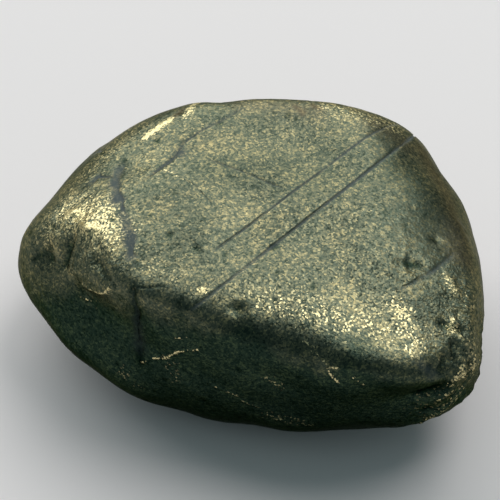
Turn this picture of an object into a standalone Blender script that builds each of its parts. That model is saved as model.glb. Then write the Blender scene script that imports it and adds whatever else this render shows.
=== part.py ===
"""A tumbled pebble of massive chalcopyrite, about 42 mm long, lying on a small flat spot.

The stone is a rounded polyhedron seen from a point in its middle. Each face that wear has left on it is a
plane with its own direction, distance and sharpness of edge, and the planes run into each other in rounded
edges. Low swells, hollows, chips, pits and a crack are added along the rays from the middle, straight grooves
are scored across the top, and the underside is ground flat where the stone rests.
"""

import itertools
import math
from collections import namedtuple

import bmesh
import bpy
import numpy as np
from mathutils import Vector

NODE_NAME = "chalcopyrite_pebble"
MM = 0.001  # lengths below are in millimetres, and the finished mesh is scaled to metres

# Directions are seen from MIDDLE, in degrees. Azimuth 0 is the right end (+X), 90 the back (+Y), 180 the left
# tip and 270 the front. Elevation 90 is straight up.
MIDDLE = np.array((0.06, 0.71, 10.5))
REACH = 40.0  # further from the middle than any part of the stone
HALVINGS = 32  # steps of the search for the surface along a ray

# The stone is modelled from a box that is sliced into cells of about this size.
HALF_BOX = (21.4, 15.9, 10.3)
CELL = 1.5

WornFace = namedtuple("WornFace", "name azimuth elevation distance sharpness")
WORN_FACES = (
    WornFace("top", 275, 87, 9.4, 0.9),
    WornFace("upper left", 168, 60, 13.6, 0.8),
    WornFace("upper back left", 125, 38, 17.6, 1.2),
    WornFace("shoulder", 300, 73, 10.8, 0.9),
    WornFace("upper right", 4, 52, 15.8, 0.9),
    WornFace("upper back right", 58, 38, 19.0, 1.1),
    WornFace("back", 90, 12, 14.6, 0.9),
    WornFace("back left", 150, 18, 19.2, 0.9),
    WornFace("left tip", 178, -2, 22.8, 0.6),
    WornFace("left front", 228, 12, 14.8, 0.9),
    WornFace("front", 256, -9, 14.2, 0.9),
    WornFace("front right", 288, -8, 19.0, 1.0),
    WornFace("right", 356, -2, 21.5, 0.9),
    WornFace("back right", 24, 20, 20.2, 0.8),
    WornFace("lower left", 226, -33, 18.4, 1.0),
    WornFace("lower right", 325, -30, 23.0, 1.1),
    WornFace("under left", 200, -62, 13.0, 0.8),
    WornFace("under right", 8, -62, 12.9, 0.9),
    WornFace("under front", 276, -50, 15.0, 1.2),
    WornFace("under back", 90, -45, 12.9, 0.8),
    WornFace("rest", 270, -90, 10.8, 1.5),
)

# A swell or a hollow follows a path of directions, one for a round spot. Its height falls off with distance
# from the path as exp(-(distance / width)^2), and a hollow's height is negative.
Relief = namedtuple("Relief", "name path width height")
BROAD_RELIEF = (
    Relief("lower left swell", ((203, -17),), 4.5, 0.4),
    Relief("lower front hollow", ((268, -34), (244, -33)), 3.0, -0.5),
    Relief("lower right corner", ((317, -12),), 3.0, 0.45),
    Relief("top left corner", ((113, 36),), 2.0, 0.4),
    Relief("upper left hollow", ((141, 19),), 3.5, -0.6),
    Relief("top dish", ((65, 66),), 4.5, -0.2),
    Relief("left knob", ((188, 26),), 2.2, 0.45),
    Relief("left fold", ((202, 22), (209, 21), (212, 28)), 1.1, 0.25),
    Relief("left hollow", ((214, 3),), 3.0, -0.3),
    Relief("left front swell", ((236, 15),), 2.0, 0.15),
    Relief("front trough", ((265, 22), (283, 18), (297, 10), (310, 0)), 1.6, -0.35),
    Relief("front swell", ((267, 4),), 2.5, 0.2),
    Relief("front left hollow", ((248, -6),), 2.5, -0.2),
    Relief("front hollow", ((286, 0),), 3.0, -0.3),
    Relief("right edge", ((359, 16), (341, 14), (326, 11), (320, 1), (318, -7)), 1.1, 0.3),
    Relief("right hollow", ((342, 2),), 3.5, -0.4),
    Relief("right scoop", ((328, -3),), 2.0, -0.3),
    Relief("back dish", ((100, 16),), 4.5, -0.5),
    Relief("back ridge", ((55, 4), (85, -12), (115, -6)), 2.0, 0.4),
    Relief("back right dish", ((36, 2),), 3.5, -0.35),
    Relief("back left dish", ((148, -6),), 3.5, -0.45),
    Relief("under right dish", ((15, -48),), 4.0, -0.4),
    Relief("under left dish", ((195, -50),), 4.0, -0.35),
)
NARROW_RELIEF = (
    Relief("tip notch", ((187, 10.5),), 0.9, -0.45),
    Relief("tip slot", ((190.5, 19), (192, 13)), 0.7, -0.35),
    Relief("ridge pit", ((265, 30),), 0.6, -0.4),
    Relief("shoulder pit", ((334, 24.5), (336, 22.5)), 0.45, -0.35),
    Relief("right pit", ((349, 21),), 0.45, -0.3),
    Relief("edge slot", ((324, 13.5), (326, 11.5)), 0.5, -0.4),
    Relief("upper chip", ((314, 9),), 0.7, -0.3),
    Relief("middle chip", ((314, 0), (316, 2)), 0.8, -0.5),
    Relief("lower chip", ((316, -7),), 0.6, -0.4),
    Relief("back chip", ((75, -3),), 1.0, -0.4),
    Relief("back pit", ((122, 8),), 0.6, -0.35),
    Relief("left back pit", ((162, 4),), 0.6, -0.35),
    Relief("right back pit", ((12, 8),), 0.6, -0.35),
)
REFINING_STEPS = 2  # times that the cells beside narrow relief are split into four
REFINED_WIDTHS = 1.3  # how far out these cells lie, in widths of the relief

# A slight unevenness, the sum of sines whose directions step round by the golden angle. It grows from nothing
# at the resting spot to its full height at WAVES_FROM.
WAVES = 9
LONGEST_WAVE = 13.0
SHORTEST_WAVE = 4.5
WAVE_STEEPNESS = 0.008  # height over length
WAVES_FROM = 4.0
GOLDEN_ANGLE = math.pi * (3 - math.sqrt(5))

# Straight grooves across the top and the jagged crack down the left front. Each is V-shaped, follows a path of
# directions and fades out over FADE at both ends.
Groove = namedtuple("Groove", "name path width depth")
CRACK_PATH = ((169, 26), (163, 32), (172, 34), (182, 36), (197, 37), (209, 35), (217, 32))
GROOVES = (
    Groove("left groove", ((88, 41), (167.7, 43)), 0.36, 0.18),
    Groove("middle groove", ((40, 21), (244, 48.5)), 0.36, 0.18),
    Groove("long groove", ((40, 12), (247, 27)), 0.40, 0.20),
    Groove("right groove", ((348, 17), (323, 22.5)), 0.34, 0.16),
    Groove("crack", CRACK_PATH, 0.75, 0.35),
    Groove("lower crack", ((224, 27), (225, 20), (229, 14), (228, 1)), 0.85, 0.35),
    Groove("crack branch", ((223, 26), (236, 33)), 0.60, 0.25),
)
FADE = 1.0
SNAP = 0.02  # a vertex as near as this to a cut counts as lying on it

COLOUR = (0.36, 0.32, 0.17, 1.0)
ROUGHNESS = 0.42
METALLIC = 0.9
SHARP_ANGLE = math.radians(40)


def direction(azimuth, elevation):
    """The unit vector towards an azimuth and elevation in degrees."""
    a, e = math.radians(azimuth), math.radians(elevation)
    return np.array((math.cos(a) * math.cos(e), math.sin(a) * math.cos(e), math.sin(e)))


def worn_surface(rays):
    """The points where rays from the middle leave the worn faces.

    There the sum over the faces of exp(sharpness * (height along the face's direction - distance)) is one.
    """
    normals = np.array([direction(face.azimuth, face.elevation) for face in WORN_FACES])
    distances = np.array([face.distance for face in WORN_FACES])
    sharpness = np.array([face.sharpness for face in WORN_FACES])
    slopes = rays @ normals.T
    near = np.zeros(len(rays))
    far = np.full(len(rays), REACH)
    for _ in range(HALVINGS):
        middle = (near + far) / 2
        total = np.exp((middle[:, None] * slopes - distances) * sharpness).sum(axis=1)
        near = np.where(total < 1, middle, near)
        far = np.where(total < 1, far, middle)
    return MIDDLE + rays * near[:, None]


def rays_to(points):
    """The unit vectors from the middle of the stone to points."""
    offsets = points - MIDDLE
    return offsets / np.linalg.norm(offsets, axis=1, keepdims=True)


def path_points(path):
    """The points of the worn surface in a path's directions."""
    return worn_surface(np.array([direction(*place) for place in path]))


def distance_to_path(points, path):
    """How far points on the surface lie from a path drawn on it.

    Across a stretch of the path it is the distance to the plane through that stretch and the middle of the
    stone, and past its ends the arc that leads on from them is added as in a right-angled triangle.
    """
    corners = path_points(path)
    if len(corners) == 1:
        return np.linalg.norm(points - corners[0], axis=1)
    offsets = points - MIDDLE
    nearest = np.full(len(points), np.inf)
    for start, end in itertools.pairwise(rays_to(corners)):
        across = np.cross(start, end)
        across /= np.linalg.norm(across)
        turn = np.arctan2(offsets @ np.cross(across, start), offsets @ start)
        beyond = np.maximum(np.maximum(-turn, turn - math.acos(start @ end)), 0)
        distance = np.hypot(offsets @ across, beyond * np.linalg.norm(offsets, axis=1))
        nearest = np.minimum(nearest, distance)
    return nearest


def relief_height(points, reliefs):
    """The sum of the swells and hollows at points on the worn surface."""
    height = np.zeros(len(points))
    for relief in reliefs:
        height += relief.height * np.exp(-((distance_to_path(points, relief.path) / relief.width) ** 2))
    return height


def wave_height(points):
    """The sum of WAVES sines of the place along directions on a golden spiral, from long to short ones."""
    height = np.zeros(len(points))
    for i in range(WAVES):
        share = i / (WAVES - 1)
        length = LONGEST_WAVE * (SHORTEST_WAVE / LONGEST_WAVE) ** share
        rise = 2 * share - 1
        flat = math.sqrt(1 - rise * rise * 0.8)
        turn = i * GOLDEN_ANGLE
        towards = np.array((flat * math.cos(turn), flat * math.sin(turn), rise))
        height += WAVE_STEEPNESS * length * np.sin(2 * math.pi / length * (points @ towards) + i)
    return height * np.clip(points[:, 2] / WAVES_FROM, 0, 1)


def stone_surface(rays):
    """The worn surface with its relief and waves, all measured along the rays."""
    points = worn_surface(rays)
    height = relief_height(points, BROAD_RELIEF + NARROW_RELIEF) + wave_height(points)
    return points + rays * height[:, None]


def positions(vertices):
    """The places of vertices, as an array."""
    return np.array([vertex.co for vertex in vertices])


def sliced_box():
    """A box round the stone, cut along each axis by planes that are at even angles seen from its middle."""
    bm = bmesh.new()
    bmesh.ops.create_cube(bm, size=2.0)
    bmesh.ops.scale(bm, vec=HALF_BOX, verts=bm.verts)
    bmesh.ops.translate(bm, vec=Vector(MIDDLE), verts=bm.verts)
    for axis, half in enumerate(HALF_BOX):
        normal = Vector([float(axis == i) for i in range(3)])
        cells = round(2 * half / CELL)
        for i in range(1, cells):
            place = Vector(MIDDLE) + normal * half * math.tan((2 * i / cells - 1) * math.pi / 4)
            everything = bm.verts[:] + bm.edges[:] + bm.faces[:]
            bmesh.ops.bisect_plane(bm, geom=everything, plane_co=place, plane_no=normal)
    return bm


def refine_narrow_relief(bm):
    """Splits the cells beside the notches, the chips and the pits into four, REFINING_STEPS times."""
    for step in range(REFINING_STEPS):
        half_cell = CELL / 2 ** (step + 1)
        centres = np.array([face.calc_center_median() for face in bm.faces])
        points = worn_surface(rays_to(centres))
        chosen = np.zeros(len(points), bool)
        for relief in NARROW_RELIEF:
            reach = REFINED_WIDTHS * relief.width + half_cell
            chosen |= distance_to_path(points, relief.path) < reach
        edges = {edge for face, near in zip(bm.faces, chosen) if near for edge in face.edges}
        bmesh.ops.subdivide_edges(bm, edges=list(edges), cuts=1, use_grid_fill=True)


def shape_stone(bm):
    """Moves every vertex along its ray from the middle to the stone's surface."""
    shaped = stone_surface(rays_to(positions(bm.verts)))
    for vertex, place in zip(bm.verts, shaped):
        vertex.co = place


def cut_along(bm, start, end, width):
    """Cuts the faces along a stretch of a groove at its bottom line and at both its lips."""
    across = np.cross(start - MIDDLE, end - MIDDLE)
    across /= np.linalg.norm(across)
    length = np.linalg.norm(end - start)
    for offset in (-0.5, 0.5, 0.0):
        centres = np.array([face.calc_center_median() for face in bm.faces])
        along = (centres - start) @ (end - start) / length
        near_side = (centres - MIDDLE) @ (start + end - 2 * MIDDLE) > 0
        chosen = near_side & (along > -CELL) & (along < length + CELL)
        faces = [face for face, near in zip(bm.faces, chosen) if near]
        geometry = list({part for face in faces for part in (*face.verts, *face.edges, face)})
        place = Vector(MIDDLE + across * offset * width)
        bmesh.ops.bisect_plane(bm, geom=geometry, dist=SNAP, plane_co=place, plane_no=Vector(across))


def sink_groove(bm, groove, fade_from):
    """Sinks the vertices between the lips of a groove, deepest at its bottom line."""
    points = positions(bm.verts)
    aside = distance_to_path(points, groove.path)
    ends = [np.linalg.norm(points - end, axis=1) for end in fade_from]
    fade = np.clip(np.minimum(*ends) / FADE, 0, 1)
    depth = groove.depth * np.clip(1 - 2 * aside / groove.width, 0, 1) * fade
    sunk = points - rays_to(points) * depth[:, None]
    for i in np.flatnonzero(depth):
        bm.verts[i].co = sunk[i]


def score_grooves(bm):
    """Cuts all the grooves into the mesh, then sinks them."""
    for groove in GROOVES:
        corners = path_points(groove.path)
        for start, end in zip(corners, corners[1:]):
            cut_along(bm, start, end, groove.width)
    bm.verts.ensure_lookup_table()
    for groove in GROOVES:
        corners = path_points(groove.path)
        sink_groove(bm, groove, (corners[0], corners[-1]))


def grind_resting_spot(bm):
    """Cuts the underside at z = 0 and closes it with one flat face."""
    everything = bm.verts[:] + bm.edges[:] + bm.faces[:]
    down = Vector((0, 0, -1))
    cut = bmesh.ops.bisect_plane(
        bm, geom=everything, dist=SNAP, plane_co=Vector(), plane_no=down, clear_outer=True
    )
    for vertex in (part for part in cut["geom_cut"] if isinstance(part, bmesh.types.BMVert)):
        vertex.co.z = 0
    rim = [part for part in cut["geom_cut"] if isinstance(part, bmesh.types.BMEdge)]
    bmesh.ops.edgeloop_fill(bm, edges=rim)


def chalcopyrite():
    """Brassy sulphide, worn to a dull polish and tarnished olive."""
    material = bpy.data.materials.new("tumbled chalcopyrite")
    material.use_nodes = True
    shader = material.node_tree.nodes["Principled BSDF"]
    shader.inputs["Base Color"].default_value = COLOUR
    shader.inputs["Roughness"].default_value = ROUGHNESS
    shader.inputs["Metallic"].default_value = METALLIC
    return material


def make_pebble():
    """The whole stone, as one object in metres."""
    bm = sliced_box()
    refine_narrow_relief(bm)
    shape_stone(bm)
    score_grooves(bm)
    grind_resting_spot(bm)
    bmesh.ops.recalc_face_normals(bm, faces=bm.faces)
    bmesh.ops.scale(bm, vec=(MM, MM, MM), verts=bm.verts)
    mesh = bpy.data.meshes.new(NODE_NAME)
    bm.to_mesh(mesh)
    bm.free()
    mesh.materials.append(chalcopyrite())
    mesh.shade_smooth()
    mesh.set_sharp_from_angle(angle=SHARP_ANGLE)
    pebble = bpy.data.objects.new(NODE_NAME, mesh)
    bpy.context.scene.collection.objects.link(pebble)
    return pebble


def clear_scene():
    """Removes whatever the file holds, such as the startup cube."""
    for item in list(bpy.data.objects):
        bpy.data.objects.remove(item)


clear_scene()
make_pebble()
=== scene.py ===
"""The looks of a tumbled chalcopyrite pebble, lying on a pale studio floor.

The stone is one closed surface, worked out on a grid over the six sides of a box. Its form is that of the
solid part: worn faces that run into each other, with swells, hollows and waves. Grooves, a crack, veins,
pits, ridges and grain are added to them. Its metal look is grains of brassy sulphide, each turned its own
way, with tarnish, rust and polish over them and dark dirt in the grooves. Painted shade darkens the front,
the underside, hollows, slots and pits, and the polished colour is partly painted highlights and glints.
"""

import itertools
import math
from collections import namedtuple

import bpy
import numpy as np
from bpy.props import FloatProperty, FloatVectorProperty, PointerProperty
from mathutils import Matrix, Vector


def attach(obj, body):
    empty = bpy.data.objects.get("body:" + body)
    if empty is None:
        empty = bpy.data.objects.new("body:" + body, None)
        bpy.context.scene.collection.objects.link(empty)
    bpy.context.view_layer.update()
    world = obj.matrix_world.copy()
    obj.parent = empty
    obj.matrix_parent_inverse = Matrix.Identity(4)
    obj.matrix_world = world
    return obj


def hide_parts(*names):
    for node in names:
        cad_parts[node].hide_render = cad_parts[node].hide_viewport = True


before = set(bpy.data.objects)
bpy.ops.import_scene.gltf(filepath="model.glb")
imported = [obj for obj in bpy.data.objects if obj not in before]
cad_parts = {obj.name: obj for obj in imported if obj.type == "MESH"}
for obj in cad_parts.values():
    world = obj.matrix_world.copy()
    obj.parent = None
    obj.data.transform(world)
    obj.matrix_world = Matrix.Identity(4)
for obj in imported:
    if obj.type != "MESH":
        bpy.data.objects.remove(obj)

bl_info = {
    "name": "Chalcopyrite Pebble",
    "version": (1, 0, 0),
    "blender": (4, 5, 0),
    "location": "3D View > Sidebar > Pebble",
    "description": "Builds a tumbled chalcopyrite pebble and the studio it lies in",
    "category": "Add Mesh",
}

NODE = "chalcopyrite_pebble"
MM = 0.001  # shapes are worked out in millimetres and stored in metres

# Directions are seen from MIDDLE, in degrees. Azimuth 0 is the right end (+X), 90 the back (+Y), 180 the
# left tip and 270 the front. Elevation 90 is straight up. Lengths are millimetres up to the stage.
MIDDLE = np.array((0.06, 0.71, 10.5))  # the point that the rays to the surface start from
REACH = 40.0  # longer than any of those rays
HALVINGS = 32  # how often a stretch of REACH is halved, which leaves far less than a micron
HALF_BOX = np.array((21.4, 15.9, 10.3))  # about half the stone's length, depth and height
GRID_FINENESS = 1.025  # cells along a side of the box, over its length in widths of a cell

# A worn face looks in a direction, lies at a distance, and turns into its neighbours more or less sharply.
WornFace = namedtuple("WornFace", "name azimuth elevation distance sharpness")
WORN_FACES = (
    WornFace("top", 275, 87, 9.4, 0.9),
    WornFace("upper left", 168, 60, 13.6, 0.8),
    WornFace("upper back left", 125, 38, 17.6, 1.2),
    WornFace("shoulder", 300, 73, 10.8, 0.9),
    WornFace("upper right", 4, 52, 15.8, 0.9),
    WornFace("upper back right", 58, 38, 19.0, 1.1),
    WornFace("back", 90, 12, 14.6, 0.9),
    WornFace("back left", 150, 18, 19.2, 0.9),
    WornFace("left tip", 178, -2, 22.8, 0.6),
    WornFace("left front", 228, 12, 14.8, 0.9),
    WornFace("front", 256, -9, 14.2, 0.9),
    WornFace("front right", 288, -8, 19.0, 1.0),
    WornFace("right", 356, -2, 21.5, 0.9),
    WornFace("back right", 24, 20, 20.2, 0.8),
    WornFace("lower left", 226, -33, 18.4, 1.0),
    WornFace("lower right", 325, -30, 23.0, 1.1),
    WornFace("under left", 200, -62, 13.0, 0.8),
    WornFace("under right", 8, -62, 12.9, 0.9),
    WornFace("under front", 276, -50, 15.0, 1.2),
    WornFace("under back", 90, -45, 12.9, 0.8),
    WornFace("rest", 270, -90, 10.8, 1.5),
)

# Height falls off with distance from a path of directions as exp(-(distance / width)^2).
Relief = namedtuple("Relief", "name path width height")
RELIEF = (
    Relief("lower left swell", ((203, -17),), 4.5, 0.4),
    Relief("lower front hollow", ((268, -34), (244, -33)), 3.0, -0.5),
    Relief("lower right corner", ((317, -12),), 3.0, 0.45),
    Relief("top left corner", ((113, 36),), 2.0, 0.4),
    Relief("upper left hollow", ((141, 19),), 3.5, -0.6),
    Relief("top dish", ((65, 66),), 4.5, -0.2),
    Relief("left knob", ((188, 26),), 2.2, 0.45),
    Relief("left fold", ((202, 22), (209, 21), (212, 28)), 1.1, 0.25),
    Relief("left hollow", ((214, 3),), 3.0, -0.3),
    Relief("left front swell", ((236, 15),), 2.0, 0.15),
    Relief("front trough", ((265, 22), (283, 18), (297, 10), (310, 0)), 1.6, -0.35),
    Relief("front swell", ((267, 4),), 2.5, 0.2),
    Relief("front left hollow", ((248, -6),), 2.5, -0.2),
    Relief("front hollow", ((286, 0),), 3.0, -0.3),
    Relief("right edge", ((359, 16), (341, 14), (326, 11), (320, 1), (318, -7)), 1.1, 0.3),
    Relief("right hollow", ((342, 2),), 3.5, -0.4),
    Relief("right scoop", ((328, -3),), 2.0, -0.3),
    Relief("back dish", ((100, 16),), 4.5, -0.5),
    Relief("back ridge", ((55, 4), (85, -12), (115, -6)), 2.0, 0.4),
    Relief("back right dish", ((36, 2),), 3.5, -0.35),
    Relief("back left dish", ((148, -6),), 3.5, -0.45),
    Relief("under right dish", ((15, -48),), 4.0, -0.4),
    Relief("under left dish", ((195, -50),), 4.0, -0.35),
    Relief("tip notch", ((187, 10.5),), 0.9, -0.45),
    Relief("tip slot", ((190.5, 19), (192, 13)), 0.7, -0.35),
    Relief("ridge pit", ((265, 30),), 0.6, -0.4),
    Relief("shoulder pit", ((334, 24.5), (336, 22.5)), 0.45, -0.35),
    Relief("right pit", ((349, 21),), 0.45, -0.3),
    Relief("edge slot", ((324, 13.5), (326, 11.5)), 0.5, -0.4),
    Relief("upper chip", ((314, 9),), 0.7, -0.3),
    Relief("middle chip", ((314, 0), (316, 2)), 0.8, -0.5),
    Relief("lower chip", ((316, -7),), 0.6, -0.4),
    Relief("back chip", ((75, -3),), 1.0, -0.4),
    Relief("back pit", ((122, 8),), 0.6, -0.35),
    Relief("left back pit", ((162, 4),), 0.6, -0.35),
    Relief("right back pit", ((12, 8),), 0.6, -0.35),
)
# Folds, shoulders and hollows that the solid part doesn't have.
FINE_RELIEF = (
    Relief("fold ridge", ((204, 14), (208, 15.5), (212, 17.5), (215, 20), (216, 23)), 0.35, 0.16),
    Relief("low shoulder", ((298, 12.5), (307, 8.5), (314, 5), (318, 3)), 2.5, 0.9),
    Relief("end shoulder", ((309, 8), (317, 6.5)), 1.8, 0.5),
    Relief("left shoulder", ((218, 26.5), (230, 28), (245, 28.5)), 1.6, 0.5),
    Relief("left front shoulder", ((203, 17), (214, 21), (228, 25)), 1.8, 0.45),
    Relief("tip hollow", ((187, 9), (190.5, 11)), 1.0, -0.25),
    Relief("dark fold", ((190, 21.5), (191, 16.5), (192, 12)), 0.4, -0.15),
    Relief("left swell", ((199, 16.5), (206, 18), (212, 20)), 0.9, 0.3),
    Relief("shoulder fold", ((186, 30), (199, 31), (209, 30)), 0.5, 0.12),
    Relief("white patch", ((189.5, 27.5), (192, 28)), 0.5, 0.2),
    Relief("knob ring", ((181, 22), (179.5, 23.5)), 0.5, 0.22),
    Relief("band crease", ((296, 23), (304, 18.5), (312, 17)), 0.5, -0.1),
)
# Short ridges with painted glints on their crests, and slots darkened inside with painted shade. The last
# two numbers are the width and the amount of the painted glint or the painted shade.
MarkedRelief = namedtuple("MarkedRelief", "name path width height mark_width mark")
END_RIDGES = (
    MarkedRelief("first end ridge", ((337.5, 17.5), (335, 16.5), (333.5, 15.5)), 0.3, 0.22, 0.35, 0.5),
    MarkedRelief("second end ridge", ((327, 13.5), (324.5, 12.5)), 0.3, 0.25, 0.25, 0.7),
    MarkedRelief("third end ridge", ((325.5, 12), (324, 10)), 0.3, 0.22, 0.25, 0.6),
    MarkedRelief("fourth end ridge", ((325, 6), (324, 3.5)), 0.3, 0.22, 0.25, 0.5),
    MarkedRelief("fifth end ridge", ((321, 7.5), (320.5, 4)), 0.3, 0.22, 0.25, 0.5),
    MarkedRelief("sixth end ridge", ((319.5, 6), (318, 2.5)), 0.3, 0.2, 0.25, 0.4),
    MarkedRelief("seventh end ridge", ((319, 0.5), (317, -2.5)), 0.3, 0.2, 0.25, 0.4),
    MarkedRelief("end lip", ((316, -13), (318.5, -8), (323, -4), (328, 2)), 0.4, 0.28, 0.3, 0.35),
)
DARK_SLOTS = (
    MarkedRelief("tip notch's end", ((184.5, 7), (185.5, 13)), 0.35, -0.22, 0.35, 0.9),
    MarkedRelief("swell groove", ((204.5, 24.5), (213, 24.5)), 0.4, -0.2, 0.4, 0.6),
    MarkedRelief("outer end slot", ((323.5, 5.5), (322, 2), (320.5, -3)), 0.3, -0.3, 0.35, 0.85),
    MarkedRelief("inner end slot", ((318.5, 9.5), (316, 8)), 0.35, -0.3, 0.35, 0.8),
    MarkedRelief("middle end slot", ((322.5, 10.5), (320, 8.5)), 0.3, -0.3, 0.3, 0.8),
)
# Thin veins of harder ore that stand a little proud, with a painted glint of the polished colour along
# them.
VEINS = (
    Relief("fine top streak", ((310, 73.5), (337, 65)), 0.08, 0.03),
    Relief("low streak", ((256, -4.5), (261.5, -5.5), (266, -7)), 0.12, 0.03),
    Relief("lower streak", ((267, -9), (270, -11), (273, -11.5)), 0.12, 0.035),
    Relief("lower edge streak", ((276.5, -15.5), (282, -17.5)), 0.12, 0.03),
    Relief("trough streak", ((297, 11), (300, 8)), 0.12, 0.04),
    Relief("brassy streak", ((159, 48.5), (173, 63), (182, 66)), 0.12, 0.045),
    Relief("back vein", ((112, 16), (104, 10), (101, 3), (92, -2)), 0.1, 0.06),
    Relief("right back vein", ((48, 10), (42, 6), (33, 7)), 0.1, 0.06),
    Relief(
        "front vein", ((229, -4), (233, 0), (239, 3), (241, 5.5), (243.5, 8.5), (251, 12.5)), 0.12, 0.08
    ),
    Relief("front vein's fork", ((238.5, 0.5), (240.5, 0.5), (244, 2.5)), 0.1, 0.05),
    Relief("trough vein", ((289, 18), (291.5, 15), (292, 12), (294, 9)), 0.1, 0.07),
    Relief("trough vein's fork", ((287, 21), (289.5, 19.5)), 0.09, 0.05),
    Relief("trough vein's branch", ((291.5, 14), (294.5, 14)), 0.09, 0.05),
    Relief("high vein", ((242, 14.5), (247, 16.5)), 0.09, 0.05),
    Relief("fold vein", ((203, 14.5), (207, 15), (211, 16.5), (214, 19), (215.5, 22)), 0.12, 0.08),
    Relief("left streak", ((201.5, 7), (204.5, 8)), 0.12, 0.06),
)
VEIN_GLINT = 10.0  # how much painted glint a vein gets for each millimetre that it stands proud
VEIN_WHOLENESS = 0.8  # from 0, a vein that breaks off often, to 1, one that never does

# Sine waves whose directions step round by the golden angle. They die out towards the resting spot.
WAVES = 9
LONGEST_WAVE = 13.0
SHORTEST_WAVE = 4.5
WAVE_STEEPNESS = 0.008  # height over length
WAVE_LEAN = 0.8  # under 1, so that even the steepest wave also runs sideways
WAVES_FROM = 4.0  # the height above the floor where they have their full size
GOLDEN_ANGLE = math.pi * (3 - math.sqrt(5))

# Grooves scratched across the stone, and the cracks. A groove fades out over FADE at both ends. Its lips
# wander by its raggedness, and its dirt is how much of the metal the dirt hides.
Groove = namedtuple("Groove", "name path width depth ragged dirt")
CRACK_TRUNK = (
    (155.5, 31.5),
    (165, 32.5),
    (173.5, 34.5),
    (182, 37.5),
    (190, 37),
    (197.5, 37.5),
    (205, 36.5),
    (217, 32.5),
)
GROOVES = (
    Groove("left groove", ((93, 42.5), (138, 48)), 0.26, 0.09, 0.08, 0.65),
    Groove("left groove's thick end", ((132, 47.5), (146, 48.8), (167.7, 43)), 0.42, 0.14, 0.16, 0.85),
    Groove("middle groove", ((40, 21), (244, 48.5)), 0.33, 0.11, 0.08, 0.75),
    Groove("long groove", ((40, 12), (247, 27)), 0.38, 0.13, 0.1, 0.8),
    Groove("right groove", ((348, 17), (323, 22.5)), 0.34, 0.12, 0.08, 0.8),
    Groove("hair scratch", ((133, 59), (14, 71)), 0.2, 0.06, 0.08, 0.85),
    Groove("back scratch", ((51, 35.5), (44.5, 39.5)), 0.12, 0.03, 0.03, 0.4),
    Groove("long back scratch", ((118, 30), (84, 12), (70, 2)), 0.2, 0.07, 0.08, 0.7),
    Groove("short back scratch", ((98, 24), (80, 22)), 0.16, 0.05, 0.06, 0.6),
    Groove("back crack", ((148, 22), (143, 12), (146, 2), (141, -9)), 0.5, 0.14, 0.4, 0.85),
    Groove("under scratch", ((300, -48), (250, -60)), 0.25, 0.08, 0.08, 0.7),
    Groove("brassy scratch", ((159, 48.5), (173, 63), (210, 68.5)), 0.16, 0.05, 0.06, 0.15),
    Groove("crack's left arm", ((167, 25), (162.5, 26.5), (164, 29.5), (164, 32.5)), 0.7, 0.14, 0.4, 0.85),
    Groove("crack", CRACK_TRUNK, 0.85, 0.12, 0.5, 0.95),
    Groove("crack's wide head", ((157, 31.5), (165, 32.5), (173.5, 34.5), (186, 37)), 1.15, 0.04, 0.4, 0.9),
    Groove("lower crack", ((224, 28.5), (226.5, 20), (226.5, 8), (228, -2)), 0.7, 0.26, 0.6, 0.15),
    Groove("crack branch", ((224.5, 27.5), (230.5, 30), (236.5, 33)), 0.3, 0.06, 0.15, 0.3),
)
FADE = 1.0
NARROWEST = 0.25  # the least that is left of a groove's width between its lips
WALL_STEEPNESS = 1.5  # above 1, a groove has a flat floor
DIRT_LOSS = 0.5  # the share of its dirt that a groove has lost in the cleaner places
LINE_PULL = 0.6  # how strongly the mesh lines gather at a groove
LINE_PULL_WIDTH = 0.7

# Smooth unevenness is noise of a spacing times an amount, with a seed for its random numbers.
Noise = namedtuple("Noise", "spacing amount seed")
GROOVE_LIPS = (Noise(1.1, 1.0, 5), Noise(0.45, 1.0, 5))
CLEANER_PLACES = (Noise(1.5, 1.0, 41),)
VEIN_BREAKS = (Noise(0.6, 1.0, 51),)
PIT_CLUSTERS = (Noise(5.0, 1.0, 11),)
WORN_GRAIN = (Noise(2.0, 0.022, 21), Noise(1.0, 0.014, 22), Noise(0.5, 0.010, 23))
ROUGH_GRAIN = (Noise(1.3, 0.2, 24), Noise(0.6, 0.1, 24))
ROUGH_SQUEEZE = (1, 1, 0.5)  # half the height counts, so the little ridges are twice as long upwards
TARNISH_EDGE = (Noise(3.0, 4.0, 31), Noise(1.0, 3.0, 32))  # in degrees of elevation
# Large odd numbers that scramble the place of a cell into a random number.
CELL_SCRAMBLERS = np.array((73856093, 19349663, 83492791), np.uint64)
SEED_SCRAMBLER = 2654435761
MIXING_STEPS = ((33, 0xFF51AFD7ED558CCD), (33, 0xC4CEB9FE1A85EC53), (33, 1))
NOISE_OFFSET = 1000  # whole cells that keep every cell's number above zero

# Where the painted shade of the dark front face begins, as elevations at azimuths, and how many degrees the
# change takes. The front's dark olive is partly tarnish and partly painted shade.
RIDGE_AZIMUTHS = (0, 20, 90, 150, 190, 222, 244, 258, 274, 287, 297, 305, 316, 324, 330, 360)
RIDGE_ELEVATIONS = (4, -8, -22, -18, 5, 22, 27, 29, 26, 22, 18, 14, 8, 3, -3, 4)
RIDGE_BLUR = 10.0
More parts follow.
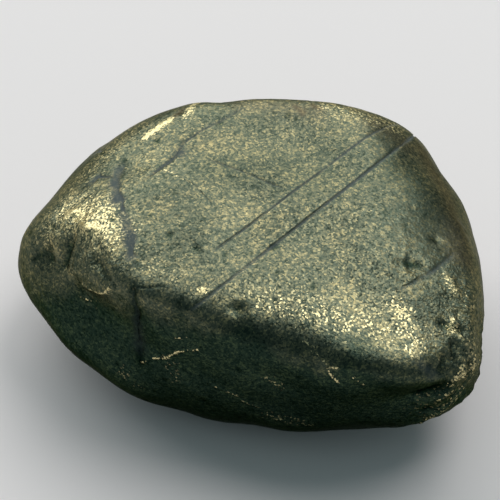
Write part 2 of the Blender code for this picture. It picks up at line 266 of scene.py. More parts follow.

# Places that are polished, partly with painted highlights, rusty, darker, darkened by painted shade in a
# hollow, rough or dirty, with how much of that there is at their middle.
Patch = namedtuple("Patch", "name path width amount")
POLISH_AND_HIGHLIGHTS = (
    Patch("knob sheen", ((180, 23), (188, 27), (196, 30)), 1.4, 0.5),
    Patch("knob's glow", ((176, 22), (182, 28), (200, 32)), 1.7, 0.5),
    Patch("tip sheen", ((172, 20), (182, 16)), 1.8, 0.25),
    Patch("crack's side", ((205, 33), (222, 34), (236, 36)), 1.5, 0.15),
    Patch("rim streak", ((140.5, 34.5), (133.5, 37), (127, 38.5)), 0.28, 1.0),
    Patch("smooth corner", ((56, 33), (46, 30), (38, 26)), 1.5, 0.3),
    Patch("left rim", ((134, 29), (150, 23), (165, 20)), 1.3, 0.25),
    Patch("corner specks", ((121.5, 41), (111.5, 35.5)), 0.35, 0.6),
    Patch("ridge grains", ((248.5, 34), (250, 34.5)), 0.3, 0.9),
    Patch("bright band", ((270, 31), (285, 29), (300, 23), (311, 18), (317, 13)), 1.6, 0.25),
    Patch("band's end", ((319, 20), (316, 16.5), (313, 13)), 1.0, 0.4),
    Patch("back sheen", ((75, 22), (55, 16)), 2.2, 0.3),
    Patch("back corner", ((38, 14), (30, 4)), 1.6, 0.3),
    Patch("left back sheen", ((135, 22), (126, 8)), 1.8, 0.3),
    Patch("band streak", ((313.5, 17), (318, 18), (321.5, 18.5)), 0.3, 0.5),
)
# Painted glints: places where grains take the polished colour on the dark sides too.
PAINTED_GLINTS = (
    Patch("white patch", ((190.5, 27.5), (191, 29), (194, 30)), 0.45, 1.0),
    Patch("knob ring", ((181, 21.5), (178.5, 22.5), (182, 25)), 0.4, 1.0),
    Patch("low left specks", ((222, -12.5), (226, -15.5)), 0.8, 0.1),
    Patch("specks under the vein", ((240, -3.5), (242, -6.5)), 0.8, 0.13),
    Patch("low front specks", ((276, 5), (279.5, 2)), 0.6, 0.15),
    Patch("lower edge", ((277, -16), (288, -17)), 0.7, 0.16),
    Patch("tip specks", ((172, 21), (169.5, 21)), 0.4, 0.6),
    Patch("tip knob", ((183, 12.5), (184, 14.5)), 0.6, 0.2),
    Patch("fold", ((206, 12), (212, 16)), 1.2, 0.08),
    Patch("right end's specks", ((336, 14), (324, 6), (319, -6)), 2.0, 0.17),
)
RUSTY = (
    Patch("rim", ((28.6, 18.9), (16.8, 18.1), (2.9, 16.8), (347.3, 15.2)), 1.3, 0.8),
    Patch("upper rim", ((40, 30), (28.6, 24)), 1.2, 0.6),
    Patch("back rim", ((96, 41), (58, 39)), 0.8, 0.45),
    Patch("back stain", ((70, 6), (62, -4)), 1.8, 0.5),
    Patch("first spot", ((69.5, 40.3), (63.8, 41.5)), 0.35, 1.0),
    Patch("second spot", ((62.6, 38), (58.9, 37.8)), 0.35, 1.0),
    Patch("corner spot", ((124.4, 38.3), (119.5, 37)), 0.3, 0.8),
)
# Darker patches in the olive tint: the one at the right end is painted shade, the others darker blotches.
DARKER_PATCHES = (
    Patch("dim strip", ((133, 68), (60, 69), (19, 54)), 2.2, 0.25),
    Patch("back right", ((40, 50), (10, 40)), 2.5, 0.12),
    Patch("back blotch", ((105, 26), (88, 20)), 2.6, 0.35),
    Patch("low back blotch", ((60, -8), (40, -14)), 3.0, 0.45),
    Patch("left back blotch", ((160, 12), (152, 0)), 2.4, 0.4),
    Patch("right end", ((332, 15), (331, 7)), 2.2, 0.3),
    Patch("blotches by the rim", ((18, 30), (4, 25), (357, 22)), 1.8, 0.45),
)
# Painted shade in the lower crack, a fold and the tip's hollow, which darkens them in the olive tint.
SHADED_HOLLOWS = (
    Patch("lower crack", ((225, 27), (226.5, 20), (226.5, 8), (228, -4)), 0.6, 1.0),
    Patch("crack branch", ((225, 28), (230.5, 30), (234.5, 32)), 0.18, 0.8),
    Patch("dark fold", ((190, 20.5), (191, 16.5), (192, 12)), 0.4, 0.6),
    Patch("tip hollow", ((187, 8.5), (190.5, 11)), 0.8, 0.4),
)
ROUGH = (
    Patch("right end", ((330, 12), (335, -4), (325, -14)), 4.0, 1.0),
    Patch("right corner", ((322, 12), (318, -6), (316, -16)), 2.2, 0.6),
    Patch("left end", ((186, 20), (190, 0), (196, 10), (205, 24)), 2.8, 0.6),
    Patch("bright band", ((300, 24), (311, 19.5), (318.5, 17.5)), 1.6, 0.1),
)
DIRTY = (
    Patch("soft grey patch", ((312.5, 11), (314.5, 7.5)), 0.45, 0.45),
    Patch("blot on the left groove", ((142, 49.7),), 0.5, 0.8),
    Patch("smear under the crack", ((226.5, 14), (227, 2)), 0.7, 0.2),
)

SMALL_HOLLOW = 1.0  # hollows of the solid part that are narrower than this get painted shade inside
HOLLOW_RIM = 0.4  # the higher, the less of such a hollow's slope gets painted shade

PITS = 300
PIT_TURN = 1.7 * GOLDEN_ANGLE  # from each pit to the next
SMALLEST_PIT = 0.12
LARGEST_PIT = 0.40
SMALL_PITS = 3  # the higher, the fewer pits are large
PIT_SIZE_SEED = 3
PIT_SLOPE = 0.28  # depth over radius
PIT_RAGGEDNESS = 0.5
PIT_SHAPE_SEED = 7
PIT_CLUSTER_EDGE = -0.1  # a pit is kept where the noise of PIT_CLUSTERS is above this
PITTED_BELOW = 55  # the worn top above this elevation has no pits

# The grain of the material, in millimetres.
BEND_SPACING = 0.4  # how far apart the bends in the grains' borders lie
BEND = 0.14  # how far the borders are bent
CLOUD = 0.5
SHADE_PATCH = 4.0
COARSE_ROUGHNESS = 0.7
FINE_ROUGHNESS = 0.22
TONES = (0.1, 0.36, 0.62, 0.95)  # how clean a grain of each of the four colours is
POLISH_AND_GLINT_GAIN = 1.2  # over 1, so that all the grains of a fully polished place, or of a painted highlight or glint, shine
SHINE_EDGE = 4.0  # how sharply shining grains are told from others
HOLLOW_SHADE_SHARE = 0.85  # how dark the painted shade in hollows, slots and pits is, in the olive tint
DIRT_METALLIC = 0.15

# The stage, in metres.
FLOOR_HALF = 2.0
CAMERA_ELEVATION = 45.0
CAMERA_DISTANCE = 0.30
NEAREST_SEEN = 0.01
PICTURE_WIDTH = 500
PIXELS_PER_MM = 11.0
MIDDLE_PIXEL_Y = 266  # where the stone's middle stands in the 500 by 500 picture
SENSOR = 36.0  # the camera's own width, in millimetres
# Soft lights, with their width and height as angles seen from the stone.
LIGHT_DISTANCE = 1.0
SoftLight = namedtuple("SoftLight", "name shape azimuth elevation width height")
SOFT_LIGHTS = (
    SoftLight("overhead", "DISK", 30, 64, 34, 34),
    SoftLight("window", "RECTANGLE", 108, 38, 76, 44),
)


def hex_colour(text):
    """The linear colour of an sRGB hex value, by the formula of the sRGB standard."""
    channels = [int(text[i : i + 2], 16) / 255 for i in (0, 2, 4)]
    return tuple(c / 12.92 if c <= 0.04045 else ((c + 0.055) / 1.055) ** 2.4 for c in channels)


def direction(azimuth, elevation):
    """The unit vector towards an azimuth and elevation in degrees."""
    a, e = math.radians(azimuth), math.radians(elevation)
    return np.array((math.cos(a) * math.cos(e), math.sin(a) * math.cos(e), math.sin(e)))


def worn_surface(rays):
    """Where rays from the middle leave the worn faces.

    There the sum over the faces of exp(sharpness * (height along the face's direction - distance)) is one,
    found by halving the stretch of the ray that holds it.
    """
    normals = np.array([direction(face.azimuth, face.elevation) for face in WORN_FACES])
    distances = np.array([face.distance for face in WORN_FACES])
    sharpness = np.array([face.sharpness for face in WORN_FACES])
    slopes = rays @ normals.T
    near = np.zeros(len(rays))
    far = np.full(len(rays), REACH)
    for _ in range(HALVINGS):
        middle = (near + far) / 2
        total = np.exp((middle[:, None] * slopes - distances) * sharpness).sum(axis=1)
        near = np.where(total < 1, middle, near)
        far = np.where(total < 1, far, middle)
    return MIDDLE + rays * near[:, None]


def rays_to(points):
    """The unit vectors from the middle of the stone to points."""
    offsets = points - MIDDLE
    return offsets / np.linalg.norm(offsets, axis=1, keepdims=True)


def path_points(path):
    """The points of the worn surface in a path's directions."""
    return worn_surface(np.array([direction(*place) for place in path]))


def stretches(path):
    """Each stretch of a path, as the unit vectors from the middle to its start, across it and along it, and
    the angle that it takes up."""
    for start, end in itertools.pairwise(rays_to(path_points(path))):
        across = np.cross(start, end)
        across /= np.linalg.norm(across)
        yield start, across, np.cross(across, start), math.acos(start @ end)


def stretch_offsets(points, start, across, along, span):
    """The signed distance of points across a stretch, and how far past its ends they lie as an arc: the
    distance from the middle times the angle beyond the end."""
    offsets = points - MIDDLE
    turn = np.arctan2(offsets @ along, offsets @ start)
    beyond = np.maximum(np.maximum(-turn, turn - span), 0)
    return offsets @ across, beyond * np.linalg.norm(offsets, axis=1)


def distance_to_path(points, path):
    """How far points on the surface lie from a path drawn on it: the distance across the nearest stretch,
    with the overrun past its ends added as in a right-angled triangle."""
    if len(path) == 1:
        return np.linalg.norm(points - path_points(path)[0], axis=1)
    nearest = np.full(len(points), np.inf)
    for stretch in stretches(path):
        nearest = np.minimum(nearest, np.hypot(*stretch_offsets(points, *stretch)))
    return nearest


def falloff(points, path, width):
    """exp(-(distance to the path / width)^2)."""
    return np.exp(-((distance_to_path(points, path) / width) ** 2))


def relief_height(points, reliefs):
    """The sum of swells and hollows at points on the worn surface, each its height times its falloff."""
    return sum(relief.height * falloff(points, relief.path, relief.width) for relief in reliefs)


def wave_height(points):
    """The sum of WAVES sines of the place, from long waves to short ones, fading out near the resting spot.

    Each is steepness * length * sin(2 pi * the way along its direction / length).
    """
    height = np.zeros(len(points))
    for i in range(WAVES):
        share = i / (WAVES - 1)
        length = LONGEST_WAVE * (SHORTEST_WAVE / LONGEST_WAVE) ** share
        rise = 2 * share - 1
        flat = math.sqrt(1 - rise * rise * WAVE_LEAN)
        turn = i * GOLDEN_ANGLE
        towards = np.array((flat * math.cos(turn), flat * math.sin(turn), rise))
        height += WAVE_STEEPNESS * length * np.sin(2 * math.pi / length * (points @ towards) + i)
    return height * np.clip(points[:, 2] / WAVES_FROM, 0, 1)


def scrambled(cells, seed):
    """An even spread of numbers from -1 to 1, always the same for a cell of whole numbers and a seed."""
    mixed = cells.astype(np.uint64) @ CELL_SCRAMBLERS
    mixed = mixed + np.uint64(seed * SEED_SCRAMBLER)
    for shift, factor in MIXING_STEPS:
        mixed = (mixed ^ (mixed >> np.uint64(shift))) * np.uint64(factor)
    return (mixed >> np.uint64(11)).astype(float) / 2**52 - 1


def lattice_noise(points, size, seed):
    """Smooth noise from -1 to 1: a random number at each corner of cubes of that size, run into each other
    by the weight 3t^2 - 2t^3 along each axis."""
    place = points / size + NOISE_OFFSET
    cell = np.floor(place)
    part = place - cell
    weight = part * part * (3 - 2 * part)
    total = np.zeros(len(points))
    for corner in itertools.product((0, 1), repeat=3):
        corner = np.array(corner)
        share = np.prod(np.where(corner, weight, 1 - weight), axis=1)
        total += share * scrambled((cell + corner).astype(np.int64), seed)
    return total


def unevenness(points, noises):
    """The sum of noises at points, each times its amount."""
    return sum(noise.amount * lattice_noise(points, noise.spacing, noise.seed) for noise in noises)


def smooth_step(values):
    """0 below 0, 1 above 1 and 3t^2 - 2t^3 between."""
    t = np.clip(values, 0, 1)
    return t * t * (3 - 2 * t)


def groove_share(points, groove):
    """How much of a groove's depth is reached at points: 1 at its middle, 0 outside its ragged lips, and
    between them a smooth step of the way in from the lip."""
    ends = path_points((groove.path[0], groove.path[-1]))
    to_ends = np.minimum(*[np.linalg.norm(points - end, axis=1) for end in ends])
    width = groove.width + groove.ragged * unevenness(points, GROOVE_LIPS)
    half_width = np.maximum(width, groove.width * NARROWEST) / 2
    inside = 1 - distance_to_path(points, groove.path) / half_width
    return smooth_step(WALL_STEEPNESS * inside) * np.clip(to_ends / FADE, 0, 1)


def box_grid(cell):
    """Directions and quads of an even grid on the six sides of a box, with the sides sharing their borders.

    A side's corners are counted by two whole numbers. Along each, the place on the side is half the box
    times the tangent of an angle that goes from -45 to 45 degrees in equal steps.
    """
    counts = np.round(2 * HALF_BOX * GRID_FINENESS / cell).astype(int)
    quads = []
    for axis in range(3):
        u, v = (axis + 1) % 3, (axis + 2) % 3
        i, j = np.meshgrid(np.arange(counts[u]), np.arange(counts[v]), indexing="ij")
        for side in (0, counts[axis]):
            corners = np.zeros((i.size, 4, 3), np.int64)
            corners[:, :, axis] = side
            corners[:, :, u] = i.reshape(-1, 1) + (0, 1, 1, 0)
            corners[:, :, v] = j.reshape(-1, 1) + (0, 0, 1, 1)
            quads.append(corners if side else corners[:, ::-1])
    corners = np.concatenate(quads).reshape(-1, 3)
    keys = (corners[:, 0] * (counts[1] + 1) + corners[:, 1]) * (counts[2] + 1) + corners[:, 2]
    _, first, index = np.unique(keys, return_index=True, return_inverse=True)
    rays = HALF_BOX * np.tan((2 * corners[first] / counts - 1) * math.pi / 4)
    return rays / np.linalg.norm(rays, axis=1, keepdims=True), index.reshape(-1, 4)


def gather_at_grooves(rays):
    """Draws the grid towards the middle lines of the grooves and veins, where detail is finest.

    A point moves across a stretch by LINE_PULL of its distance, times exp(-(distance / LINE_PULL_WIDTH)^2).
    """
    points = worn_surface(rays)
    for line in GROOVES + VEINS:
        for stretch in stretches(line.path):
            offset, overrun = stretch_offsets(points, *stretch)
            nearness = np.exp(-(offset**2 + overrun**2) / LINE_PULL_WIDTH**2)
            points = points - stretch[1] * (LINE_PULL * offset * nearness)[:, None]
    return rays_to(points)


def pit_share(points):
    """How much of their depth small round pits reach at points, and that depth.

    The pits' directions step round a golden spiral, and a pit is kept where broad noise is high. It falls
    off as exp(-(distance / radius)^2), with noise that makes it less round.
    """
    steps = np.arange(PITS) + 0.5
    rise = 1 - 2 * steps / PITS
    turn = steps * PIT_TURN
    flat = np.sqrt(1 - rise**2)
    centres = worn_surface(np.stack((flat * np.cos(turn), flat * np.sin(turn), rise), axis=1))
    low = rays_to(centres)[:, 2] < math.sin(math.radians(PITTED_BELOW))
    kept = low & (unevenness(centres, PIT_CLUSTERS) > PIT_CLUSTER_EDGE)
    sizes = scrambled(np.stack((steps, steps, steps), axis=1).astype(np.int64), PIT_SIZE_SEED) / 2 + 0.5
    radii = SMALLEST_PIT + (LARGEST_PIT - SMALLEST_PIT) * sizes**SMALL_PITS
    share = np.zeros(len(points))
    depth = np.zeros(len(points))
    for centre, radius in zip(centres[kept], radii[kept]):
        squares = ((points - centre) ** 2).sum(axis=1) / radius**2
        reached = np.exp(-squares * (1 + PIT_RAGGEDNESS * lattice_noise(points, radius, PIT_SHAPE_SEED)))
        share = np.maximum(share, reached)
        depth = np.maximum(depth, reached * radius * PIT_SLOPE)
    return share, depth


def grain_height(points, rough):
    """Soft unevenness all over, and steep little ridges in rough places: amount * (1 - 2 * |noise|), whose
    crests are where the noise passes zero."""
    height = unevenness(points, WORN_GRAIN)
    for noise in ROUGH_GRAIN:
        crests = 1 - 2 * np.abs(lattice_noise(points * ROUGH_SQUEEZE, noise.spacing, noise.seed))
        height += noise.amount * rough * crests
    return height


def covered(points, patches):
    """How much of what the patches give there is at points: the most that any one of them gives, which is
    its amount times its falloff."""
    return np.max([patch.amount * falloff(points, patch.path, patch.width) for patch in patches], axis=0)


def marks_of(reliefs):
    """The patches of painted glint on ridges or of painted shade in slots."""
    return tuple(Patch(relief.name, relief.path, relief.mark_width, relief.mark) for relief in reliefs)


def below_ridge(points):
    """1 on the front and the underside and 0 above the ridge: a smooth step of how far the uneven elevation
    of a point is below the ridge's at its azimuth."""
    # The painted shade, partly tarnish, that darkens the front and the underside.
    x, y, z = rays_to(points).T
    azimuth = np.degrees(np.arctan2(y, x)) % 360
    elevation = np.degrees(np.arcsin(z)) + unevenness(points, TARNISH_EDGE)
    ridge = np.interp(azimuth, RIDGE_AZIMUTHS, RIDGE_ELEVATIONS)
    return smooth_step((ridge - elevation) / RIDGE_BLUR / 2 + 0.5)


def new_mesh(name, points, faces, material, attributes=()):
    """A smooth mesh object from points and faces, with a number at each point for each attribute."""
    mesh = bpy.data.meshes.new(name)
    mesh.from_pydata(points, [], faces)
    for title, values in dict(attributes).items():
        layer = mesh.attributes.new(title, "FLOAT", "POINT")
        layer.data.foreach_set("value", np.ascontiguousarray(values, np.float32))
    mesh.shade_smooth()
    mesh.materials.append(material)
    piece = bpy.data.objects.new(name, mesh)
    bpy.context.scene.collection.objects.link(piece)
    return piece


def pebble_surface(cell):
    """The stone's points in millimetres, its quads, and what the material needs to know at each point.

    A point lies on its ray, as far out as the worn faces plus the height of all that is added to them, less
    the depth of the grooves and pits.
    """
    rays, quads = box_grid(cell)
    rays = gather_at_grooves(rays)
    points = worn_surface(rays)
    dirt = covered(points, DIRTY)
    # Painted shade in hollows and slots.
    hollow_shade = covered(points, SHADED_HOLLOWS + marks_of(DARK_SLOTS))
    height = relief_height(points, RELIEF) + wave_height(points)
    less_dirt = 1 - DIRT_LOSS * smooth_step(unevenness(points, CLEANER_PLACES) + 0.5)
    for groove in GROOVES:
        share = groove_share(points, groove)
        height -= groove.depth * share
        dirt = np.maximum(dirt, groove.dirt * share * less_dirt)
    share, depth = pit_share(points)
    height -= depth
    # Small hollows of the solid part get painted shade inside.
    for relief in RELIEF:
        if relief.width < SMALL_HOLLOW and relief.height < 0:
            inside = falloff(points, relief.path, relief.width) * (1 + HOLLOW_RIM) - HOLLOW_RIM
            hollow_shade = np.maximum(hollow_shade, smooth_step(inside))
    veins = relief_height(points, VEINS)
    rough = covered(points, ROUGH)
    fine_relief = relief_height(points, FINE_RELIEF + END_RIDGES + DARK_SLOTS)
    height += fine_relief + veins + grain_height(points, rough) * (1 - dirt)
    shaped = points + rays * height[:, None]
    shaped[:, 2] = np.maximum(shaped[:, 2], 0)
    # Painted shade, partly tarnish, on the front and the underside.
    front = below_ridge(points)
    # Painted glints along the veins, on the end ridges and in other places.
    vein = veins * VEIN_GLINT * smooth_step(unevenness(points, VEIN_BREAKS) + VEIN_WHOLENESS)
    glints = covered(points, PAINTED_GLINTS + marks_of(END_RIDGES))
    marks = {
        # Painted shade on the front and the underside, partly tarnish, and the darker patches.
        "shade_and_tarnish": np.maximum(front, covered(points, DARKER_PATCHES)),
        # Painted shade in hollows, slots and pits.
        "hollow_shade": np.maximum(hollow_shade, share),
        "rust": covered(points, RUSTY),
        # Polish, partly painted highlight and kept off the shaded front, with painted glints and the veins'
        # glints.
        "polish": np.clip(np.maximum(covered(points, POLISH_AND_HIGHLIGHTS) * (1 - front), glints) + vein, 0, 1),
        "rough": rough,
        "filling": dirt,
    }
    return shaped, quads, marks


def add_node(tree, kind, inputs, **settings):
    """Adds a node, sets its properties, and gives its inputs values or links them to other nodes' outputs.

    An input goes by its name, or by its number where several have the same name.
    """
    node = tree.nodes.new("ShaderNode" + kind)
    for name, value in settings.items():
        setattr(node, name, value)
    for name, value in inputs.items():
        if isinstance(value, bpy.types.NodeSocket):
            tree.links.new(value, node.inputs[name])
        else:
            node.inputs[name].default_value = value
    return node


def empty_material(name):
    """A material with an empty node tree, and the tree."""
    material = bpy.data.materials.new(name)
    material.use_nodes = True
    material.node_tree.nodes.clear()
    return material, material.node_tree


def grain_tone(tree, look, place, shade):
    """How clean each grain is, from about 0 to 1: a random shade to a grain, in clouds of half a millimetre
    and patches of a few millimetres that hold more or fewer tarnished grains."""
    spread = look.grain_contrast / 2
    tone = {"Value": shade, "To Min": 0.5 - spread, "To Max": 0.5 + spread}
    tone = add_node(tree, "MapRange", tone).outputs[0]
    for size, contrast in ((CLOUD, look.cloud_contrast), (SHADE_PATCH, look.patch_contrast)):
        cloud = {"Vector": place, "Scale": 1 / (size * MM), "Detail": 3.0}
        cloud = add_node(tree, "TexNoise", cloud).outputs["Fac"]
        centred = add_node(tree, "Math", {0: cloud, 1: 0.5}, operation="SUBTRACT").outputs[0]
        tone = {0: centred, 1: contrast, 2: tone}
        tone = add_node(tree, "Math", tone, operation="MULTIPLY_ADD").outputs[0]
    return tone


def tumbled_chalcopyrite(look):
    """Massive chalcopyrite, worn by tumbling to a satin polish.

    The eye sees a fine sparkle, because grains of 0.15 to 0.3 mm each mirror their own way, and among them
    duller grey-green grains that have tarnished. The front and the underside are darkened by a painted
    olive shade, partly tarnish, and hollows, slots and pits by painted shade. Polished spots are partly
    painted highlights and glints. The upper right rim is brown with rust, and the scratches and the crack
    hold smooth slate-grey dirt.
    """
    material, tree = empty_material("tumbled chalcopyrite")
    place = add_node(tree, "TexCoord", {}).outputs["Object"]
    amounts = {
        title: add_node(tree, "Attribute", {}, attribute_name=title).outputs["Fac"]
        for title in ("shade_and_tarnish", "hollow_shade", "rust", "polish", "rough", "filling")
    }

    # Grains are cells with bent borders. Each has a random colour, whose parts serve as random numbers.
    bends = {"Vector": place, "Scale": 1 / (BEND_SPACING * MM), "Detail": 1.0}
    bend = add_node(tree, "TexNoise", bends).outputs["Color"]
    bent = {0: bend, 1: (BEND * MM,) * 3, 2: place}
    bent = add_node(tree, "VectorMath", bent, operation="MULTIPLY_ADD").outputs[0]
    grains = add_node(tree, "TexVoronoi", {"Vector": bent, "Scale": 1 / look.grain_size}).outputs["Color"]
    parts = add_node(tree, "SeparateColor", {"Color": grains}).outputs

    tone = grain_tone(tree, look, place, parts["Red"])
    ramp = add_node(tree, "ValToRGB", {"Fac": tone})
    bands = ramp.color_ramp.elements
    for position in TONES[1:-1]:
        bands.new(position)
    shades = (look.tarnished_grain, look.dull_grain, look.worn_grain, look.bright_grain)
    for stop, position, shade in zip(bands, TONES, shades):
        stop.position = position
        stop.color = (*shade, 1)

    # A place's polish, which is partly painted highlight, is the share of its grains that take the polished
    # colour.
    polish = add_node(tree, "Math", {0: amounts["polish"], 1: POLISH_AND_GLINT_GAIN}, operation="MULTIPLY").outputs[0]
    shining = add_node(tree, "Math", {0: polish, 1: parts["Blue"]}, operation="SUBTRACT").outputs[0]
    shining = add_node(tree, "Math", {0: shining, 1: SHINE_EDGE}, operation="MULTIPLY", use_clamp=True)
    amounts["polish"] = shining.outputs[0]

    # Painted shade, partly tarnish, darkens the front and the underside, and painted shade darkens hollows,
    # slots and pits. Rust, polish with its painted highlights, and dirt cover what is under them.
    colour = ramp.outputs["Color"]
    for title, blend, share, tint in (
        ("shade_and_tarnish", "MULTIPLY", look.shade_and_tarnish_share, look.shade_and_tarnish_tint),
        ("hollow_shade", "MULTIPLY", HOLLOW_SHADE_SHARE, look.shade_and_tarnish_tint),
        ("rust", "MIX", look.rust_share, look.rim_rust),
        ("polish", "MIX", 1.0, look.polished_grain),
        ("filling", "MIX", 1.0, look.groove_filling),
    ):
        weight = add_node(tree, "Math", {0: amounts[title], 1: share}, operation="MULTIPLY").outputs[0]
        cover = {"Factor": weight, 6: colour, 7: (*tint, 1)}
        colour = add_node(tree, "Mix", cover, data_type="RGBA", blend_type=blend).outputs[2]

    # Some grains are glossier than others. Polished spots are the glossiest, and dirt is matt.
    roughness = {"Value": parts["Green"], "To Min": look.glossiest, "To Max": look.dullest}
    roughness = add_node(tree, "MapRange", roughness).outputs[0]
    for title, value in (("polish", look.glossiest), ("filling", look.dirt_roughness)):
        roughness = add_node(tree, "Mix", {0: amounts[title], 2: roughness, 3: value}).outputs[0]
    metallic = {"Value": amounts["filling"], "To Min": 1.0, "To Max": DIRT_METALLIC}
    metallic = add_node(tree, "MapRange", metallic).outputs[0]

    # Fine relief, higher in rough places and evened out by the dirt, and grains each turned their own way.
    clean = add_node(tree, "Math", {0: 1.0, 1: amounts["filling"]}, operation="SUBTRACT").outputs[0]
    steeper = {0: amounts["rough"], 1: look.rough_gain, 2: 1.0}
    steeper = add_node(tree, "Math", steeper, operation="MULTIPLY_ADD").outputs[0]
    normal = None
    for size, rise in ((COARSE_ROUGHNESS, look.coarse_relief), (FINE_ROUGHNESS, look.fine_relief)):
        rough = {"Vector": place, "Scale": 1 / (size * MM), "Detail": 1.5}
        rough = add_node(tree, "TexNoise", rough).outputs["Fac"]
        depth = add_node(tree, "Math", {0: steeper, 1: rise}, operation="MULTIPLY").outputs[0]
        relief = {"Height": rough, "Strength": clean, "Distance": depth}
        if normal:
            relief["Normal"] = normal
        normal = add_node(tree, "Bump", relief).outputs["Normal"]
    turn = add_node(tree, "VectorMath", {0: grains, 1: (0.5, 0.5, 0.5)}, operation="SUBTRACT").outputs[0]
    share = add_node(tree, "Math", {0: steeper, 1: look.grain_turn}, operation="MULTIPLY").outputs[0]
    share = add_node(tree, "Math", {0: share, 1: clean}, operation="MULTIPLY").outputs[0]
    turn = add_node(tree, "VectorMath", {0: turn, "Scale": share}, operation="SCALE").outputs[0]
    normal = add_node(tree, "VectorMath", {0: normal, 1: turn}, operation="ADD").outputs[0]
    normal = add_node(tree, "VectorMath", {0: normal}, operation="NORMALIZE").outputs[0]

    surface = {
        "Base Color": colour,
        "Roughness": roughness,
        "Metallic": metallic,
        "Specular Tint": (*look.edge_tint, 1),
        "Normal": normal,
    }
    shader = add_node(tree, "BsdfPrincipled", surface).outputs["BSDF"]
    add_node(tree, "OutputMaterial", {"Surface": shader})
    return material


def studio_card(look):
    """Matt painted board, plain and pale, which shows the stone's soft shadow."""
    material, tree = empty_material("matt studio board")
    surface = {"Base Color": (*look.floor_colour, 1), "Roughness": 0.9, "Specular IOR Level": 0.2}
    shader = add_node(tree, "BsdfPrincipled", surface).outputs["BSDF"]
    add_node(tree, "OutputMaterial", {"Surface": shader})
    return material


def colour_property(name, description, default):
    """A colour setting whose default is an sRGB hex value."""
    return FloatVectorProperty(
        name=name,
        description=description,
        default=hex_colour(default),
        size=3,
        min=0,
        max=1,
        subtype="COLOR",
    )


class PebbleLook(bpy.types.PropertyGroup):
    """The size and the colours of the stone's grain, with the tints of its painted shade and highlights."""

    cell: FloatProperty(
        name="Mesh cell", description="Width of a mesh cell", default=0.25 * MM, unit="LENGTH", precision=5
    )
    grain_size: FloatProperty(
        name="Grain size",
        description="Width of an ore grain",
        default=0.16 * MM,
        unit="LENGTH",
        precision=5,
    )
    grain_contrast: FloatProperty(
        name="Grain contrast",
        description="How far single grains differ in shade",
        default=0.55,
        subtype="FACTOR",
    )
    cloud_contrast: FloatProperty(
        name="Cloud contrast", description="How far half-millimetre clouds differ in shade", default=0.6
    )
    patch_contrast: FloatProperty(
        name="Patch contrast",
        description="How far patches of a few millimetres differ in shade",
        default=0.5,
    )
    grain_turn: FloatProperty(
        name="Grain turn", description="How far the grains are turned from the surface", default=0.14
    )
    fine_relief: FloatProperty(
        name="Fine relief",
        description="Height of the 0.2 mm roughness",
        default=0.026 * MM,
        unit="LENGTH",
        precision=6,
    )
    coarse_relief: FloatProperty(
        name="Coarse relief",
        description="Height of the 0.7 mm roughness",
        default=0.05 * MM,
        unit="LENGTH",
        precision=6,
    )
    rough_gain: FloatProperty(
        name="Rough gain", description="How much higher the fine relief is in rough places", default=3.0
    )
    glossiest: FloatProperty(
        name="Glossiest grain",
        description="Roughness of the best worn grains",
        default=0.32,
        subtype="FACTOR",
    )
    dullest: FloatProperty(
        name="Dullest grain",
        description="Roughness of the least worn grains",
        default=0.5,
        subtype="FACTOR",
    )
    dirt_roughness: FloatProperty(
        name="Dirt roughness",
        description="Roughness of the dirt in the grooves",
        default=0.62,
        subtype="FACTOR",
    )
    # How dark the painted shade, partly tarnish, makes the front, the underside and the darker patches.
    shade_and_tarnish_share: FloatProperty(
        name="Front shade and tarnish", description="How dark the painted shade and tarnish make the front", default=0.9, subtype="FACTOR"
    )
    rust_share: FloatProperty(
        name="Rust",
        description="How much of the rim's metal the rust covers",
        default=0.5,
        subtype="FACTOR",
    )
    bright_grain: colour_property("Bright grain", "Colour of freshly worn grains", "B3A577")
    worn_grain: colour_property("Worn grain", "Colour of most grains", "72735C")
    dull_grain: colour_property("Dull grain", "Colour of slightly tarnished grains", "565E50")
    tarnished_grain: colour_property("Tarnished grain", "Colour of the darkest grains", "3A4438")
    # The colour of polished grains and of the painted highlights and glints.
    polished_grain: colour_property("Polished grain and painted glint", "Colour of bright polished spots", "DECF9C")
    edge_tint: colour_property("Edge tint", "What the tarnish leaves of a glancing reflection", "B4B4A8")
    # The olive tint of the painted shade on the front, the underside and in hollows, partly tarnish.
    shade_and_tarnish_tint: colour_property("Olive shade and tarnish", "What the painted shade and the tarnish let through", "46767A")
    rim_rust: colour_property("Rust colour", "Colour of the oxidised rim", "5E4A38")
    groove_filling: colour_property("Filling", "Colour of the dirt in the grooves", "454F50")


class StageLook(bpy.types.PropertyGroup):
    """The floor and the lights."""

    floor_colour: colour_property("Floor", "Colour of the floor", "F2EBE9")
    overhead: FloatProperty(
        name="Overhead light", description="Brightness of the round light above", default=3.4
    )
    window: FloatProperty(
        name="Window light", description="Brightness of the wide light behind", default=2.3
    )
    surround: FloatProperty(name="Surround", description="Brightness of the room", default=0.27)
    room_colour: colour_property("Room", "Colour of the room's dim light", "CFECF2")


class MESH_OT_chalcopyrite_pebble(bpy.types.Operator):
    """Builds the stone and gives it its metal look"""

    bl_idname = "mesh.chalcopyrite_pebble"
    bl_label = "Chalcopyrite Pebble"

    def execute(self, context):
        look = context.scene.pebble_look
        points, quads, attributes = pebble_surface(look.cell / MM)
        if not np.isfinite(points).all():
            raise ValueError("the stone's surface isn't finite")
        stone = new_mesh("tumbled_pebble", points * MM, quads, tumbled_chalcopyrite(look), attributes)
        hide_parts(NODE)
        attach(stone, "root")
        return {"FINISHED"}


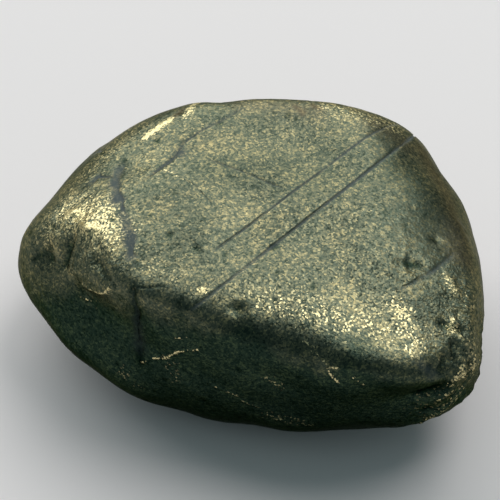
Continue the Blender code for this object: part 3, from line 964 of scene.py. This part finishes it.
class SCENE_OT_pebble_stage(bpy.types.Operator):
    """Sets the floor, the camera and the soft light"""

    bl_idname = "scene.pebble_stage"
    bl_label = "Studio Stage"

    def execute(self, context):
        look = context.scene.stage_look
        corners = [(x * FLOOR_HALF, y * FLOOR_HALF, 0) for x, y in ((-1, -1), (1, -1), (1, 1), (-1, 1))]
        floor = new_mesh("floor", corners, [(0, 1, 2, 3)], studio_card(look))
        self.place_camera(context)
        self.place_lights(context, look)
        return {"FINISHED"}

    def place_camera(self, context):
        """Looks at the stone from the front and above, with its middle where the picture has it."""
        width_mm = PICTURE_WIDTH / PIXELS_PER_MM
        camera_data = bpy.data.cameras.new("camera")
        camera_data.sensor_width = SENSOR
        camera_data.lens = SENSOR * CAMERA_DISTANCE / (width_mm * MM)
        camera_data.clip_start = NEAREST_SEEN
        camera = bpy.data.objects.new("camera", camera_data)
        back = Vector(direction(270, CAMERA_ELEVATION))
        up = Vector(direction(90, 90 - CAMERA_ELEVATION))
        rise = (MIDDLE_PIXEL_Y - PICTURE_WIDTH / 2) / PIXELS_PER_MM * MM
        target = Vector(MIDDLE) * MM + up * rise
        camera.location = target + back * CAMERA_DISTANCE
        camera.rotation_euler = back.to_track_quat("Z", "Y").to_euler()
        context.scene.collection.objects.link(camera)
        context.scene.camera = camera

    def place_lights(self, context, look):
        """A round soft light above, a wide one behind like a window, and a dim even room."""
        for light in SOFT_LIGHTS:
            towards = Vector(direction(light.azimuth, light.elevation))
            data = bpy.data.lights.new(light.name, "AREA")
            data.shape = light.shape
            data.size = 2 * LIGHT_DISTANCE * math.tan(math.radians(light.width / 2))
            data.size_y = 2 * LIGHT_DISTANCE * math.tan(math.radians(light.height / 2))
            area = data.size * data.size_y * (math.pi / 4 if light.shape == "DISK" else 1)
            data.energy = math.pi * area * getattr(look, light.name)
            lamp = bpy.data.objects.new(light.name, data)
            lamp.location = towards * LIGHT_DISTANCE
            lamp.rotation_euler = towards.to_track_quat("Z", "Y").to_euler()
            context.scene.collection.objects.link(lamp)
        world = bpy.data.worlds.new("room")
        world.use_nodes = True
        world.node_tree.nodes.clear()
        room = {"Color": (*look.room_colour, 1), "Strength": look.surround}
        room = add_node(world.node_tree, "Background", room).outputs["Background"]
        add_node(world.node_tree, "OutputWorld", {"Surface": room})
        context.scene.world = world
        context.scene.view_settings.view_transform = "Standard"


class VIEW3D_PT_pebble(bpy.types.Panel):
    """The stone and its stage, with their settings"""

    bl_idname = "VIEW3D_PT_pebble"
    bl_label = "Chalcopyrite Pebble"
    bl_space_type = "VIEW_3D"
    bl_region_type = "UI"
    bl_category = "Pebble"

    def draw(self, context):
        for operator, look in (
            (MESH_OT_chalcopyrite_pebble, context.scene.pebble_look),
            (SCENE_OT_pebble_stage, context.scene.stage_look),
        ):
            box = self.layout.box()
            box.operator(operator.bl_idname)
            for name in look.__annotations__:
                box.prop(look, name)


CLASSES = (PebbleLook, StageLook, MESH_OT_chalcopyrite_pebble, SCENE_OT_pebble_stage, VIEW3D_PT_pebble)


def register():
    """Makes the settings, the operators and the panel known to Blender."""
    for item in CLASSES:
        bpy.utils.register_class(item)
    bpy.types.Scene.pebble_look = PointerProperty(type=PebbleLook)
    bpy.types.Scene.stage_look = PointerProperty(type=StageLook)


def unregister():
    """Takes them away again."""
    del bpy.types.Scene.stage_look
    del bpy.types.Scene.pebble_look
    for item in reversed(CLASSES):
        bpy.utils.unregister_class(item)


def main():
    """Builds everything in order."""
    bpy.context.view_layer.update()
    register()
    bpy.ops.mesh.chalcopyrite_pebble()
    bpy.ops.scene.pebble_stage()


if __name__ == "__main__":
    main()
